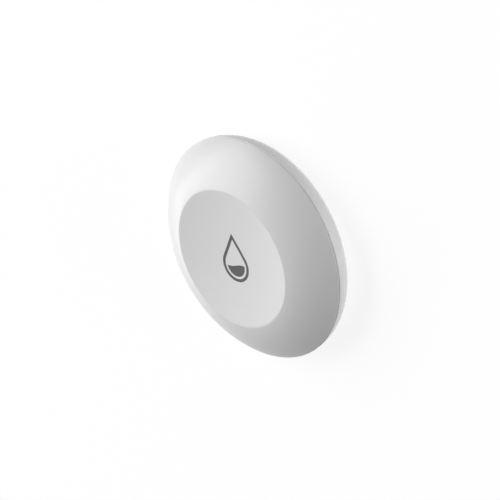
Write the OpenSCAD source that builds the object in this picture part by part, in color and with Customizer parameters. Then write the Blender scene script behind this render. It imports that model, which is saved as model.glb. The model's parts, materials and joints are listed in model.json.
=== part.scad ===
// Round water leak sensor: a domed cover frames a dished press button, and a
// rear base carries two sensing probes, a turn-off battery door and the board.
// Millimetres. The origin is on the floor under the centre, +Z points up
// through the button and +Y towards the tip of the drop mark.

/* [Body] */
// Outer diameter at the parting line
body_d = 54; // [50:0.5:60]
// Diameter of the round opening that frames the button
face_d = 33.5; // [31:0.5:36]
// Height of the front cover above the parting line
dome_h = 6.5; // [6:0.1:8]
// How far the dome's arc stands proud of a straight cone
dome_bulge = 1; // [0.5:0.1:1.5]
// Height of the rear base, underside to parting line
base_h = 6; // [5.6:0.1:8]
// Radius of the base's rounded lower edge
base_round = 5.7; // [3:0.1:5.7]
// Straight band of the base under the parting line
seam_land = 0.3; // [0.2:0.1:1]
// Shell thickness of cover and base
wall = 1.6; // [1.3:0.1:1.9]
// Thickness of the cover's lip around the button
lip_t = 1.9; // [1.6:0.1:2.2]

/* [Button] */
// Depth of the dished face at its centre
dish_depth = 1.2; // [0.6:0.1:1.4]
// Plate thickness at the centre of the dish
button_plate_t = 0.9; // [0.8:0.1:1.1]
// Side wall of the hollow button
button_wall = 1.6; // [1.2:0.1:2]
// Width of the flange that keeps the button in the cover
button_flange_w = 0.65; // [0.5:0.05:0.8]
// Thickness of that flange
button_flange_t = 0.55; // [0.4:0.05:0.7]
// Travel of the button and of the switch under it
button_travel = 0.25; // [0.15:0.05:0.3]
// Gap between the button and its opening
button_gap = 0.12; // [0.1:0.01:0.2]
// Diameter of the stem that pushes on the membrane
stem_d = 3; // [2.4:0.1:4]

/* [Drop mark] */
// Height of the drop, tip to bottom
drop_h = 12; // [9:0.1:14]
// Width of the drop
drop_w = 8.1; // [6:0.1:9]
// Line width of its outline
drop_line = 0.75; // [0.4:0.05:0.9]
// Light gap between the outline and the water inside
drop_space = 0.55; // [0.5:0.05:1.2]
// Wave height on the water's surface
wave_h = 0.4; // [0.1:0.05:0.9]
// How far the water's level lies below the middle of the round bottom
water_low = 0.05; // [0:0.05:0.6]
// Depth of the inlay under the face
mark_depth = 0.25; // [0.15:0.05:0.4]

/* [Membrane] */
// Thickness of the silicone sheet
membrane_t = 0.4; // [0.3:0.05:0.6]
// Extra thickness of its clamped rim
rim_extra = 0.2; // [0.1:0.05:0.4]
// Width of its clamped rim
rim_w = 2.2; // [1.6:0.1:2.6]
// Thickness of the ring that clamps the rim
clamp_t = 1; // [0.7:0.1:1.3]
// Wall of the cover's skirt around the ring
skirt_t = 1; // [0.8:0.1:1.4]
// Diameter of the nub that presses the switch
nub_d = 2; // [1.4:0.1:2.4]

/* [Coin cell] */
// Cell diameter
cell_d = 20; // [18:0.1:21]
// Cell height
cell_h = 3.2; // [2.8:0.1:3.6]
// Height of the cell's lower can
cell_can_h = 2.7; // [2.2:0.1:2.7]
// Step from the can to the smaller cap
cell_step = 0.9; // [0.6:0.1:1.4]
// Room between the cell and the board for the springs
cell_room = 0.8; // [0.6:0.1:1]
// Depth of the ledge that guides the cell's upper edge
guide_low = 0.5; // [0.3:0.1:0.7]
// Height of that ledge above the cell
guide_high = 0.3; // [0.2:0.1:0.4]
// Angle of the positive contact about the axis
contact_angle = 45; // [30:5:60]

/* [Battery door] */
// Thickness of the door's flange
door_t = 1.5; // [1.3:0.1:1.8]
// Space for the seal between flange and seat
door_seal_h = 0.8; // [0.6:0.1:1]
// Wall of the door's skirt
door_skirt_t = 1.4; // [1.1:0.1:1.6]
// Room between the cell and the skirt
door_room = 0.9; // [0.8:0.1:1.2]
// Diameter of each cam pin
pin_d = 1.2; // [1:0.1:1.4]
// How far each pin stands out of the skirt
pin_reach = 1; // [0.8:0.1:1.2]
// Turn that releases the door, in degrees
door_turn = 60; // [45:5:75]
// How far the door comes out over that turn
door_lift = 2.5; // [2.2:0.1:3]
// Extra turn of the cam groove behind the pin at rest, in degrees
cam_end = 4; // [4:1:8]
// Wall of the collar outside the cam grooves
collar_wall = 0.9; // [0.7:0.1:1]
// Wall around the door's pocket
pocket_wall = 1.2; // [1:0.1:1.3]
// Wall above the seal's seat
seat_wall = 0.8; // [0.6:0.1:1]
// Length of the coin slot
coin_slot_l = 14; // [10:0.5:18]
// Width of the coin slot
coin_slot_w = 1.8; // [1.4:0.1:2.4]
// Depth of the coin slot
coin_slot_depth = 0.9; // [0.6:0.1:1]
// Thickness of the pad under the cell
cell_pad_t = 0.15; // [0.1:0.05:0.3]
// Margin of that pad inside the skirt
cell_pad_margin = 2; // [1:0.5:5]

/* [Probes and feet] */
// Diameter of a probe's shank
probe_d = 2; // [1.6:0.1:2.4]
// Diameter of a probe's head
probe_head_d = 4.2; // [3.8:0.1:4.6]
// Thickness of a probe's head
probe_head_t = 0.7; // [0.5:0.1:0.9]
// Section of the seal under the head
probe_seal_h = 0.6; // [0.4:0.05:0.8]
// Clear height between a probe and the floor
probe_clear = 0.3; // [0.1:0.05:0.4]
// Width of a probe's nut across its flats
nut_af = 4; // [3.4:0.1:4.4]
// Thickness of that nut
nut_t = 1.2; // [0.9:0.1:1.4]
// How far the feet stand out of the base
foot_h = 0.5; // [0.4:0.05:0.8]
// Diameter of a foot pad
foot_d = 4.4; // [3.6:0.1:5]
// Depth of the recess that holds a foot pad
foot_recess = 0.8; // [0.5:0.1:0.9]
// Least wall beside the pockets in the underside
pocket_land = 0.7; // [0.5:0.05:0.75]
// Wall of a probe's boss around the nut's flats
boss_wall = 0.6; // [0.4:0.1:0.7]
// Thread that stands out above a probe's nut
probe_tail = 0.3; // [0.2:0.05:0.4]

/* [Board] */
// Thickness of the circuit board
board_t = 0.8; // [0.6:0.1:1]
// Gap between the board and the base's tongue
board_gap = 1.1; // [0.6:0.1:1.6]
// Diameter of a board pillar
pillar_d = 4.2; // [3.6:0.1:4.8]
// Shank diameter of a board screw
screw_d = 1.4; // [1.2:0.1:1.6]
// Shank length of a board screw
screw_l = 3; // [2.4:0.1:3.4]
// Head diameter of a board screw
screw_head_d = 2.8; // [2.4:0.1:3.2]
// Head height of a board screw
screw_head_h = 0.8; // [0.6:0.1:1]
// Side of the square switch
switch_w = 4.5; // [4:0.1:5]
// Width of each slot in a board screw's cross recess
cross_w = 0.5; // [0.4:0.05:0.6]
// Length of each slot in that recess
cross_l = 1.7; // [1.4:0.1:1.9]
// Height of the switch's moulded body
switch_h = 1; // [0.9:0.1:1.2]
// Thickness of the switch's metal cover
switch_cover_t = 0.2; // [0.15:0.05:0.3]
// Diameter of the switch's plunger
plunger_d = 2; // [1.6:0.1:2.4]
// How far the plunger stands out of the switch
plunger_out = 0.4; // [0.3:0.05:0.5]
// Width of the flange that keeps the plunger in
plunger_flange_w = 0.5; // [0.3:0.05:0.6]
// Thickness of that flange
plunger_flange_t = 0.35; // [0.25:0.05:0.4]
// Thickness of the switch's snap dome
snap_t = 0.06; // [0.04:0.01:0.08]
// Gap between the switch and the radio module
module_gap = 1.2; // [0.8:0.1:1.5]
// Width of the radio module
module_w = 10; // [8:0.5:12]
// Length of the radio module
module_l = 12; // [11:0.5:12]
// Thickness of the radio module's own board
module_t = 0.6; // [0.5:0.1:0.8]
// Height of the module's shield can
shield_h = 1.2; // [1.1:0.1:1.3]
// Sheet thickness of the shield can
shield_wall = 0.2; // [0.1:0.05:0.25]
// Margin of the module's board around the shield can
shield_margin = 0.6; // [0.4:0.1:0.8]
// Bare end of the module, kept for its antenna
antenna_room = 4; // [3:0.1:4.5]
// Width of the ceramic antenna
antenna_w = 6; // [4:0.1:7]
// Length of the ceramic antenna along the module
antenna_l = 1.6; // [1:0.1:2]
// Height of the ceramic antenna
antenna_h = 0.6; // [0.4:0.1:0.8]
// Side of the radio chip
chip_side = 4.5; // [3:0.1:5]
// Height of the radio chip
chip_h = 0.8; // [0.6:0.05:0.85]
// Length of the status light
led_l = 1.6; // [1.2:0.1:2]
// Width of the status light
led_w = 0.8; // [0.8:0.1:1.2]
// Height of the status light's base
led_h = 0.3; // [0.2:0.05:0.4]
// Diameter of the status light's lens
lens_d = 0.7; // [0.5:0.05:0.75]
// Height of that lens
lens_h = 0.35; // [0.2:0.05:0.5]
// Length, width and height of a small capacitor
capacitor = [1.6, 0.8, 0.8]; // [0.3:0.1:2]
// Length, width and height of a small resistor
resistor = [1, 0.5, 0.35]; // [0.3:0.05:2]
// Spacing of the small parts in a row
chip_pitch = 2.4; // [2:0.1:3]
// Thickness of sprung contact metal
leaf_t = 0.2; // [0.15:0.05:0.25]
// Width of sprung contact strips
leaf_w = 3; // [2:0.1:4]
// Length of the negative contact's slope down to the cell
contact_slope = 2.5; // [2:0.1:3]
// Height of the positive contact's lower end above the cell's underside
strip_low = 0.9; // [0.5:0.1:1.2]
// Distance of the rows of small parts from the axis
chip_row_r = 10; // [8:0.5:12]

/* [Case seam] */
// Width of the base's locating tongue
tongue_w = 1; // [0.8:0.1:1.2]
// Height of the tongue above the parting line
tongue_h = 0.8; // [0.7:0.1:1]
// How far the snap bead stands out of the tongue
bead_out = 0.25; // [0.15:0.05:0.3]
// Height of the snap bead
bead_h = 0.3; // [0.2:0.05:0.4]
// Width of the seal groove in the base's rim
seal_groove_w = 1.2; // [1:0.1:1.4]
// Depth of that groove
seal_groove_d = 0.9; // [0.7:0.1:1]
// Rim left outside the groove
rim_land = 1.4; // [1.2:0.1:1.6]

/* [Fits] */
// Gap of loose fits, such as lid in pocket
loose_gap = 0.15; // [0.1:0.01:0.2]
// Gap of close fits, such as skirt in bore
close_gap = 0.1; // [0.05:0.01:0.12]
// Gap between faces that press on each other
touch_gap = 0.05; // [0.02:0.01:0.06]
// Gap of squeezed seals and screw threads
squeeze_gap = 0.02; // [0.01:0.01:0.04]

/* [Hidden] */
$fn = 96;
// Overshoot of cutting shapes
over = 1;

// Radii
body_r = body_d / 2;
face_r = face_d / 2;
cell_r = cell_d / 2;
probe_r = probe_d / 2;
pin_r = pin_d / 2;

// Heights from the floor up: base, parting line and top edge
floor_z = foot_h + wall;
seam_z = foot_h + base_h;
top_z = seam_z + dome_h;

// Battery door, from the cell outwards
door_top_z = foot_h + door_t;
seat_z = door_top_z + door_seal_h;
door_skirt_in = cell_r + door_room;
door_skirt_out = door_skirt_in + door_skirt_t;
collar_bore_r = door_skirt_out + close_gap;
pin_tip_r = door_skirt_out + pin_reach;
cam_r = pin_tip_r + loose_gap;
cam_h = pin_d + 2 * loose_gap;
collar_r = cam_r + collar_wall;
door_seal_r = door_seal_h / 2 - squeeze_gap;
door_seal_centre_r = cam_r + loose_gap + door_seal_r;
door_r = door_seal_centre_r + door_seal_r + 2 * loose_gap;
pocket_r = door_r + loose_gap;
pocket_outer_r = pocket_r + pocket_wall;
step_z = seat_z + seat_wall;

// Coin cell and its guide ledge
cell_z = door_top_z + cell_pad_t + touch_gap;
cell_top_z = cell_z + cell_h;
guide_r = cell_r + 2 * close_gap;
guide_z = cell_top_z - guide_low;
guide_top_z = cell_top_z + guide_high;
door_skirt_z = guide_z - 2 * close_gap;
pin_z = door_skirt_z - pin_r - 2 * close_gap;
pin_angles = [90, 210, 330];

// Rounded lower edge, held back where feet and probes need a flat underside
head_pocket_d = probe_head_d + 2 * loose_gap;
foot_hole_d = foot_d + close_gap;
flat_need = pocket_r + 2 * pocket_land + max(head_pocket_d, foot_hole_d);
edge_r = min(base_round, base_h - seam_land, body_r - flat_need);
flat_r = body_r - edge_r;
edge_z = foot_h + edge_r;
inner_edge_r = max(edge_r - wall, seam_land);
inner_flat_r = body_r - wall - inner_edge_r;
inner_edge_z = floor_z + inner_edge_r;

// Ring of feet, pillars and probes
ring_r = (pocket_r + flat_r) / 2;
pillar_angles = [90, 210, 330];
probe_angles = [0, 180];

// Case seam, from the outside inwards
seal_out_r = body_r - rim_land;
seal_in_r = seal_out_r - seal_groove_w;
seal_centre_r = (seal_out_r + seal_in_r) / 2;
seal_r = seal_groove_d / 2 - squeeze_gap;
tongue_out_r = seal_in_r - pocket_land;
tongue_in_r = tongue_out_r - tongue_w;
cavity_r = tongue_out_r + close_gap;
rim_t = seal_groove_d + pocket_land;
bead_z = seam_z + tongue_h / 2;

// Board and what stands on it
board_z = cell_top_z + cell_room;
board_top_z = board_z + board_t;
board_r = tongue_in_r - board_gap;
screw_r = screw_d / 2;
screw_hole_r = screw_r + loose_gap;
switch_top_z = board_top_z + switch_h;
switch_plate_z = switch_top_z + switch_cover_t;
plunger_z = switch_plate_z + plunger_out;
plunger_r = plunger_d / 2;
plunger_flange_r = plunger_r + plunger_flange_w;
plunger_low_z = switch_top_z - touch_gap - plunger_flange_t;
snap_rise = button_travel;
snap_z = plunger_low_z - squeeze_gap - snap_rise - snap_t;
module_y = -(switch_w / 2 + module_gap + module_l / 2);
module_top_z = board_top_z + module_t;
shield_w = module_w - 2 * shield_margin;
shield_l = module_l - shield_margin - antenna_room;
shield_y = module_y + (module_l - shield_l) / 2 - shield_margin;
shield_top_z = module_top_z + shield_h;
antenna_y = module_y - (module_l - antenna_room) / 2;
notch_w = leaf_w + 2 * loose_gap;

// Dome: an arc from the parting line to the button's opening
chord = norm([body_r - face_r, dome_h]);
arc_r = (pow(chord / 2, 2) + pow(dome_bulge, 2)) / (2 * dome_bulge);
arc_reach = (arc_r - dome_bulge) / chord;
arc_x = (body_r + face_r) / 2 - dome_h * arc_reach;
arc_z = (seam_z + top_z) / 2 - (body_r - face_r) * arc_reach;

// Button, from the top edge down to the membrane's nub
button_r = face_r - button_gap;
dish_r = (pow(button_r, 2) + pow(dish_depth, 2)) / (2 * dish_depth);
dish_low_z = top_z - dish_depth;
button_pocket_z = dish_low_z - button_plate_t;
lip_z = top_z - lip_t;
flange_r = face_r + button_flange_w;
flange_pocket_r = flange_r + 2 * close_gap;
flange_top_z = lip_z - touch_gap;
flange_z = flange_top_z - button_flange_t;
membrane_top_z = flange_z - button_travel - touch_gap;
membrane_z = membrane_top_z - membrane_t;
membrane_r = flange_pocket_r + rim_w;
land_z = membrane_top_z + rim_extra;
skirt_in_r = membrane_r + close_gap;
skirt_out_r = skirt_in_r + skirt_t;
clamp_z = membrane_z - clamp_t;
skirt_z = clamp_z - close_gap;

// Probes, from the head up to the nut
probe_low_z = probe_clear;
head_top_z = probe_low_z + probe_head_t;
head_pocket_z = head_top_z + probe_seal_h;
probe_seal_r = probe_seal_h / 2 - squeeze_gap;
probe_seal_centre_r = probe_r + touch_gap + probe_seal_r;
boss_d = nut_af + 2 * boss_wall;
nut_top_z = step_z + nut_t;
probe_top_z = nut_top_z + probe_tail;

// Drop mark
drop_r = drop_w / 2;
drop_angle = asin(drop_r / (drop_h - drop_r));
drop_y = drop_r - drop_h / 2;
fill_r = drop_r - drop_line - drop_space;
curve_steps = 32;

// Shared shapes

// Upright cylinder between two heights
module disc(r, z0, z1) {
  translate([0, 0, z0]) cylinder(r = r, h = z1 - z0);
}

// Flat ring between two radii and two heights
module ring(r0, r1, z0, z1) {
  difference() {
    disc(r1, z0, z1);
    disc(r0, z0 - over, z1 + over);
  }
}

// Block centred on an axis between two heights
module block(w, l, z0, z1) {
  translate([-w / 2, -l / 2, z0]) cube([w, l, z1 - z0]);
}

// Rectangle in a section, radius across and height up
module span(r0, r1, z0, z1) {
  translate([r0, z0]) square([r1 - r0, z1 - z0]);
}

// Quarter disc in a section, for a rounded lower edge
module edge(x, z, r) {
  translate([x, z]) intersection() {
    circle(r);
    translate([0, -2 * r]) square(2 * r);
  }
}

// Seal ring of round section
module seal_ring(centre_r, section_r, z) {
  rotate_extrude() translate([centre_r, z]) circle(section_r);
}

// Copies on a circle about the axis
module on_circle(angles, r) {
  for (a = angles) rotate(a) translate([r, 0, 0]) children();
}

// Drop outline of a given lower radius: a round bottom and straight tangent sides
function drop_points(r) = concat(
  [[0, r / sin(drop_angle)]],
  [
    for (i = [0 : curve_steps])
      let (t = drop_angle - i * (180 + 2 * drop_angle) / curve_steps)
        [r * cos(t), r * sin(t)]
  ]
);

// Water inside the drop: a disc cut by a wave
module drop_water() {
  wave = [
    for (i = [0 : curve_steps])
      let (u = 2 * i / curve_steps - 1)
        [u * drop_r, wave_h * sin(180 * u) - water_low]
  ];
  intersection() {
    circle(fill_r);
    polygon(concat(wave, [[drop_r, -drop_r], [-drop_r, -drop_r]]));
  }
}

// The mark's flat shape, centred on the face
module drop_shape() {
  translate([0, drop_y]) {
    difference() {
      polygon(drop_points(drop_r));
      polygon(drop_points(drop_r - drop_line));
    }
    drop_water();
  }
}

// The mark's prism, from its floor in the button to above the face
module drop_prism() {
  translate([0, 0, dish_low_z - mark_depth]) linear_extrude(dish_depth + mark_depth + over) drop_shape();
}

// Space above the dished face: an arc turned about the axis
module dish() {
  dish_edge = button_r + over;
  arc = [
    for (i = [0 : curve_steps])
      let (r = i * dish_edge / curve_steps)
        [r, dish_low_z + dish_r - sqrt(pow(dish_r, 2) - pow(r, 2))]
  ];
  rotate_extrude() polygon(concat(arc, [[dish_edge, top_z + 2 * over], [0, top_z + 2 * over]]));
}

// Cam groove: a square section swept down a helix as the door turns
module cam_groove() {
  slope = door_lift / door_turn;
  r0 = collar_bore_r - loose_gap;
  steps = 16;
  span_angle = door_turn + cam_end;
  section = [[r0, -cam_h / 2], [cam_r, -cam_h / 2], [cam_r, cam_h / 2], [r0, cam_h / 2]];
  points = [
    for (i = [0 : steps])
      let (t = i * span_angle / steps - cam_end)
        for (p = section) [p[0] * cos(t), -p[0] * sin(t), pin_z + p[1] - slope * t]
  ];
  sides = [
    for (i = [0 : steps - 1])
      for (k = [0 : 3])
        let (a = 4 * i + k, b = 4 * i + (k + 1) % 4)
          for (f = [[a, a + 4, b], [b, a + 4, b + 4]]) f
  ];
  last = 4 * steps;
  caps = [[0, 1, 2], [0, 2, 3], [last, last + 2, last + 1], [last, last + 3, last + 2]];
  polyhedron(points, concat(sides, caps));
}

// Sub-parts: housing

module base_section() {
  difference() {
    union() {
      span(0, flat_r, foot_h, edge_z);
      edge(flat_r, edge_z, edge_r);
      span(0, body_r, edge_z, seam_z);
    }
    span(-over, inner_flat_r, floor_z, inner_edge_z);
    edge(inner_flat_r, inner_edge_z, inner_edge_r);
    span(-over, body_r - wall, inner_edge_z, seam_z + over);
  }
}

module rim_section() {
  span(tongue_in_r, body_r - wall / 2, seam_z - rim_t, seam_z);
  span(tongue_in_r, tongue_out_r, seam_z - pocket_land, seam_z + tongue_h);
  span(tongue_in_r, tongue_out_r + bead_out, bead_z - bead_h / 2, bead_z + bead_h / 2);
}

module rear_base() {
  color("whitesmoke") difference() {
    union() {
      rotate_extrude() base_section();
      rotate_extrude() rim_section();
      disc(pocket_outer_r, foot_h, step_z);
      disc(collar_r, step_z - pocket_land, guide_top_z);
      on_circle(pillar_angles, ring_r) disc(pillar_d / 2, floor_z - pocket_land, board_z);
      on_circle(probe_angles, ring_r) disc(boss_d / 2, floor_z - pocket_land, step_z);
    }
    ring(seal_in_r, seal_out_r, seam_z - seal_groove_d, seam_z + over);
    disc(pocket_r, foot_h - over, seat_z);
    disc(collar_bore_r, seat_z - over, guide_z);
    disc(guide_r, guide_z - over, guide_top_z + over);
    for (a = pin_angles) rotate(a) cam_groove();
    rotate(contact_angle) translate([guide_r, 0, 0])
      block(2 * door_room, notch_w, guide_z - over, guide_top_z + over);
    on_circle(pillar_angles, ring_r) disc(foot_hole_d / 2, foot_h - over, foot_h + foot_recess);
    on_circle(pillar_angles, ring_r) disc(screw_r + squeeze_gap, board_z - screw_l, board_z + over);
    on_circle(probe_angles, ring_r) disc(head_pocket_d / 2, foot_h - over, head_pocket_z);
    on_circle(probe_angles, ring_r) disc(probe_r + touch_gap, foot_h - over, step_z + over);
  }
}

module cover_section() {
  difference() {
    intersection() {
      translate([arc_x, arc_z]) circle(arc_r);
      span(face_r, body_r + over, seam_z, top_z + over);
    }
    difference() {
      intersection() {
        translate([arc_x, arc_z]) circle(arc_r - wall);
        span(0, cavity_r, seam_z - over, lip_z);
      }
      span(flange_pocket_r, skirt_out_r, skirt_z, top_z);
    }
    span(0, flange_pocket_r, seam_z - over, lip_z);
    span(0, skirt_in_r, seam_z - over, land_z);
    span(0, cavity_r + bead_out, bead_z - bead_h / 2 - close_gap, bead_z + bead_h / 2 + close_gap);
  }
}

module front_cover() {
  color("white") rotate_extrude() cover_section();
}

module case_seal() {
  color("dimgray") seal_ring(seal_centre_r, seal_r, seam_z - seal_groove_d / 2);
}

module foot_pads() {
  color("gainsboro") on_circle(pillar_angles, ring_r) disc(foot_d / 2, 0, foot_h + foot_recess);
}

module probe_studs() {
  color("silver") on_circle(probe_angles, ring_r) {
    disc(probe_head_d / 2, probe_low_z, head_top_z);
    disc(probe_r, head_top_z, probe_top_z);
  }
}

module probe_seals() {
  color("dimgray") on_circle(probe_angles, ring_r)
    seal_ring(probe_seal_centre_r, probe_seal_r, head_top_z + probe_seal_h / 2);
}

module probe_nuts() {
  color("silver") on_circle(probe_angles, ring_r) difference() {
    translate([0, 0, step_z]) cylinder(d = nut_af / cos(30), h = nut_t, $fn = 6);
    disc(probe_r + squeeze_gap, step_z - over, nut_top_z + over);
  }
}

// Bent leaf spring in profile: a foot on the board, a slope and a flat tip
module leaf_profile(foot_l, slope_l, tip_l, drop) {
  top = [[0, 0], [foot_l, 0], [foot_l + slope_l, -drop], [foot_l + slope_l + tip_l, -drop]];
  low = [for (i = [3 : -1 : 0]) top[i] - [0, leaf_t]];
  polygon(concat(top, low));
}

module leaf_spring(foot_l, slope_l, tip_l, drop) {
  translate([0, leaf_w / 2, board_z]) rotate([90, 0, 0]) linear_extrude(leaf_w)
    leaf_profile(foot_l, slope_l, tip_l, drop);
}

module probe_springs() {
  reach = ring_r - pocket_outer_r + probe_r;
  fall = board_z - probe_top_z - leaf_t - squeeze_gap;
  color("gold") for (a = probe_angles) rotate(a) translate([collar_r - reach / 2, 0, 0])
    leaf_spring(reach / 2, ring_r - collar_r - probe_r, probe_d, fall);
}

module circuit_board() {
  color("darkgreen") difference() {
    disc(board_r, board_z, board_top_z);
    on_circle(pillar_angles, ring_r) disc(screw_hole_r, board_z - over, board_top_z + over);
  }
}

module board_screws() {
  color("silver") on_circle(pillar_angles, ring_r) {
    disc(screw_r, board_top_z + screw_head_h / 2 - screw_l, board_top_z + screw_head_h / 2);
    difference() {
      disc(screw_head_d / 2, board_top_z, board_top_z + screw_head_h);
      for (a = [0, 90]) rotate(a)
        block(cross_l, cross_w, board_top_z + screw_head_h / 2, board_top_z + screw_head_h + over);
    }
  }
}

module coin_cell() {
  color("lightgray") {
    disc(cell_r, cell_z, cell_z + cell_can_h);
    disc(cell_r - cell_step, cell_z, cell_top_z);
  }
}

module positive_contact() {
  strip_x = cell_r + touch_gap;
  strip_low_z = cell_z + strip_low;
  color("gold") rotate(contact_angle) {
    translate([strip_x, -leaf_w / 2, strip_low_z]) cube([leaf_t, leaf_w, board_z - strip_low_z]);
    translate([strip_x, -leaf_w / 2, board_z - leaf_t]) cube([leaf_w, leaf_w, leaf_t]);
  }
}

module negative_contact() {
  fall = cell_room - leaf_t - squeeze_gap;
  color("gold") translate([-leaf_w - contact_slope, 0, 0]) leaf_spring(leaf_w, contact_slope, leaf_w, fall);
}

module module_board() {
  color("midnightblue") translate([0, module_y, 0]) block(module_w, module_l, board_top_z, module_top_z);
}

module module_shield() {
  color("silver") translate([0, shield_y, 0]) difference() {
    block(shield_w, shield_l, module_top_z, shield_top_z);
    block(
      shield_w - 2 * shield_wall, shield_l - 2 * shield_wall,
      module_top_z - over, shield_top_z - shield_wall
    );
  }
}

module radio_chip() {
  color("black") translate([0, shield_y, 0]) block(chip_side, chip_side, module_top_z, module_top_z + chip_h);
}

module chip_antenna() {
  color("white") translate([0, antenna_y, 0])
    block(antenna_w, antenna_l, module_top_z, module_top_z + antenna_h);
}

module status_led() {
  color("ivory") translate([switch_w, switch_w, 0]) {
    block(led_l, led_w, board_top_z, board_top_z + led_h);
    disc(lens_d / 2, board_top_z, board_top_z + led_h + lens_h);
  }
}

// One small part on the board, standing at the origin of its row
module chip(size) {
  block(size[0], size[1], board_top_z, board_top_z + size[2]);
}

// A row of capacitors left of the switch and a row of resistors behind it
module chip_parts() {
  color("tan") for (i = [-2 : 2]) translate([-chip_row_r, i * chip_pitch, 0]) chip(capacitor);
  color("black") for (i = [-2 : 2]) translate([i * chip_pitch, chip_row_r, 0]) rotate(90) chip(resistor);
}

module switch_body() {
  color("black") difference() {
    block(switch_w, switch_w, board_top_z, switch_top_z);
    disc(plunger_flange_r + close_gap, snap_z, switch_top_z + over);
  }
}

module switch_cover() {
  color("silver") difference() {
    block(switch_w, switch_w, switch_top_z, switch_plate_z);
    disc(plunger_r + close_gap, switch_top_z - over, switch_plate_z + over);
  }
}

module switch_dome() {
  color("silver") rotate_extrude() polygon([
    [0, snap_z + snap_rise], [plunger_flange_r, snap_z],
    [plunger_flange_r, snap_z + snap_t], [0, snap_z + snap_rise + snap_t]
  ]);
}

module switch_plunger() {
  color("dimgray") {
    disc(plunger_r, plunger_low_z, plunger_z);
    disc(plunger_flange_r, plunger_low_z, plunger_low_z + plunger_flange_t);
  }
}

module clamp_ring() {
  color("whitesmoke") ring(flange_pocket_r, skirt_in_r - touch_gap, clamp_z, membrane_z);
}

module button_membrane() {
  color("lightgray") {
    disc(membrane_r, membrane_z, membrane_top_z);
    ring(flange_pocket_r, membrane_r, membrane_z, land_z);
    disc(nub_d / 2, plunger_z + touch_gap, membrane_top_z);
  }
}

// Sub-parts: button

module button_cap() {
  color("white") difference() {
    union() {
      difference() {
        union() {
          disc(button_r, flange_z, top_z + over);
          disc(flange_r, flange_z, flange_top_z);
        }
        disc(button_r - button_wall, flange_z - over, button_pocket_z);
      }
      disc(stem_d / 2, membrane_top_z + touch_gap, button_pocket_z + over);
    }
    dish();
    drop_prism();
  }
}

module drop_mark() {
  color("dimgray") difference() {
    drop_prism();
    dish();
  }
}

// Sub-parts: battery door

module door_seal() {
  color("dimgray") seal_ring(door_seal_centre_r, door_seal_r, (door_top_z + seat_z) / 2);
}

module battery_door() {
  color("whitesmoke") difference() {
    union() {
      disc(door_r, foot_h, door_top_z);
      ring(door_skirt_in, door_skirt_out, door_top_z - coin_slot_depth / 2, door_skirt_z);
      for (a = pin_angles) rotate(a) translate([door_skirt_out - door_skirt_t / 2, 0, pin_z])
        rotate([0, 90, 0]) cylinder(r = pin_r, h = pin_reach + door_skirt_t / 2);
    }
    block(coin_slot_l - coin_slot_w, coin_slot_w, foot_h - over, foot_h + coin_slot_depth);
    for (side = [-1, 1]) translate([side * (coin_slot_l - coin_slot_w) / 2, 0, 0])
      disc(coin_slot_w / 2, foot_h - over, foot_h + coin_slot_depth);
  }
}

module cell_pad() {
  color("gray") disc(door_skirt_in - cell_pad_margin, door_top_z, door_top_z + cell_pad_t);
}

rear_base();
front_cover();
case_seal();
foot_pads();
probe_studs();
probe_seals();
probe_nuts();
probe_springs();
circuit_board();
board_screws();
coin_cell();
positive_contact();
negative_contact();
module_board();
module_shield();
radio_chip();
chip_antenna();
status_led();
chip_parts();
switch_body();
switch_cover();
switch_dome();
switch_plunger();
clamp_ring();
button_membrane();
button_cap();
drop_mark();
door_seal();
battery_door();
cell_pad();
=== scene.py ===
"""Looks of a round water leak sensor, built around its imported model.

Blender works in metres in the model's own frame: the puck stands on the floor at z = 0, +Z
points up through its button and +Y towards the tip of the drop mark. Sizes in the classes
below are in millimetres, as on a drawing, and become metres when a surface is worked out.
"""

from __future__ import annotations

import json
import logging
import math
from dataclasses import dataclass
from enum import Enum

import bmesh
import bpy
import numpy as np
from mathutils import Matrix, Vector

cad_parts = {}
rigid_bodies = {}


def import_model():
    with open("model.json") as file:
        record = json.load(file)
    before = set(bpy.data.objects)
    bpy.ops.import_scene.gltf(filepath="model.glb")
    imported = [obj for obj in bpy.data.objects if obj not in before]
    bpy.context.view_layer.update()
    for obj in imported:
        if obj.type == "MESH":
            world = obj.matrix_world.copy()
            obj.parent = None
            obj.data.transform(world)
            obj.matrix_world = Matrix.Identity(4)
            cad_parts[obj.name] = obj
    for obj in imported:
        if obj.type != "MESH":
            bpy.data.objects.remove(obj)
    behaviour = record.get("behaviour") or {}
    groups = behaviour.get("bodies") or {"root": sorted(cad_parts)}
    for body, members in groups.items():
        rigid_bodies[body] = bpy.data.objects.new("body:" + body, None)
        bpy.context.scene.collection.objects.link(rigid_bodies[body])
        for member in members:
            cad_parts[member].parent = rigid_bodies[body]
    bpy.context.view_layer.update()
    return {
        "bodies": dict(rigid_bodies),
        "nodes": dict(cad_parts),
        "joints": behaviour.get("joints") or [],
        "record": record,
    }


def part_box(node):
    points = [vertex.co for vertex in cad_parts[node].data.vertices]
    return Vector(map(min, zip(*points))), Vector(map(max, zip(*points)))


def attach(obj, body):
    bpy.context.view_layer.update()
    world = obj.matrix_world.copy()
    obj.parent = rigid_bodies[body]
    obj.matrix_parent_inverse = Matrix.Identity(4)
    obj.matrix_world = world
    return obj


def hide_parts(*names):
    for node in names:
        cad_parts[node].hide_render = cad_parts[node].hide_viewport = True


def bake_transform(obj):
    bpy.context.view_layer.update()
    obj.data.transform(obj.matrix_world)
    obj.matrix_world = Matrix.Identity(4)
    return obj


LOG = logging.getLogger("leak_sensor")
MM = 0.001
IMAGE_SIDE_PX = 500
# Steps in the turn of a large and of a small round piece, along an arc and round a corner
TURN_STEPS = 288
HOLE_STEPS = 72
ARC_STEPS = 32
CORNER_STEPS = 5
# Edges that bend more than this are drawn sharp
SHARP_DEG = 40.0
# How far a cutter reaches past the face that it cuts
OVERSHOOT = 1.0
# Points that are closer than this become one
MERGE_MM = 1e-4
# The least length that a direction is divided by
LEAST_LENGTH = 1e-9
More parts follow.
